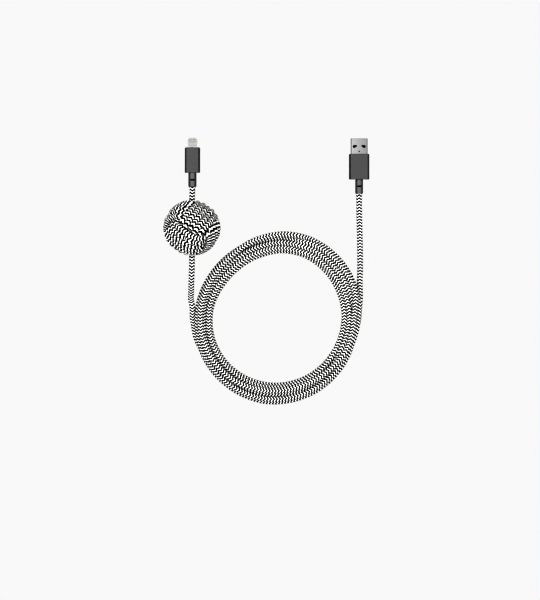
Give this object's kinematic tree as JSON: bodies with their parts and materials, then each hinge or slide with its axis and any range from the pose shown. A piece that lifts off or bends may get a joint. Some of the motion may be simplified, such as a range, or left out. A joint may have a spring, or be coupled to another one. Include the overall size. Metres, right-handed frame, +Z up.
{
  "type": "charging cable",
  "caption": "Braided charging cable wound into a coil, with a Type-A plug, a small tab plug and a woven ball knot with a weight inside that slides on the cord.",
  "frame": {"origin": "on the surface the cable lies on, under the middle of the box round the two plugs and the knot", "axes": "+Z up from the surface, +Y the way both plugs point, +X from the knot and the tab plug towards the Type-A plug"},
  "size_m": [0.1454, 0.1899, 0.0378],
  "materials": {
    "braid": "woven black and white braid",
    "housing": "satin dark grey moulding",
    "relief": "matt dark grey, flexible",
    "jacket": "matt black inner jacket",
    "shell": "bright folded steel",
    "tab": "fine satin steel",
    "weight": "plain steel ball",
    "contact": "gold plated",
    "crimp": "plain brass",
    "insulator": "black moulding",
    "board": "green circuit board",
    "wire_black": "insulated wire",
    "wire_red": "insulated wire",
    "wire_white": "insulated wire",
    "wire_green": "insulated wire"
  },
  "bodies": {
    "cable": {"cable_coil": "braid", "cable_lead_charger": "braid", "cable_lead_knot": "braid", "charge_chip": "insulator", "circuit_board": "board", "contact_carrier": "insulator", "shield_can": "shell", "tab_contact_1": "contact", "tab_contact_2": "contact", "tab_contact_3": "contact", "tab_contact_4": "contact", "tab_contact_5": "contact", "tab_contact_6": "contact", "tab_contact_7": "contact", "tab_contact_8": "contact", "tab_plug_crimp_ring": "crimp", "tab_plug_housing": "housing", "tab_plug_jacket_end": "jacket", "tab_plug_strain_relief": "relief", "tab_plug_wire_black": "wire_black", "tab_plug_wire_green": "wire_green", "tab_plug_wire_red": "wire_red", "tab_plug_wire_white": "wire_white", "tab_shell": "tab", "type_a_contact_1": "contact", "type_a_contact_2": "contact", "type_a_contact_3": "contact", "type_a_contact_4": "contact", "type_a_crimp_ring": "crimp", "type_a_housing": "housing", "type_a_jacket_end": "jacket", "type_a_shell": "shell", "type_a_stop_block": "insulator", "type_a_strain_relief": "relief", "type_a_tongue": "insulator", "type_a_wire_black": "wire_black", "type_a_wire_green": "wire_green", "type_a_wire_red": "wire_red", "type_a_wire_white": "wire_white"},
    "knot": {"knot_pass_a1": "braid", "knot_pass_a2": "braid", "knot_pass_a3": "braid", "knot_pass_a4": "braid", "knot_pass_a5": "braid", "knot_pass_b1": "braid", "knot_pass_b2": "braid", "knot_pass_b3": "braid", "knot_pass_b4": "braid", "knot_pass_b5": "braid", "knot_pass_c1": "braid", "knot_pass_c2": "braid", "knot_pass_c3": "braid", "knot_pass_c4": "braid", "knot_pass_c5": "braid", "knot_weight": "weight"}
  },
  "joints": [
    {"name": "knot_slide", "type": "slide", "parent": "cable", "child": "knot", "axis": [0, 1, 0], "range_m": [-0.008, 0.001]}
  ]
}
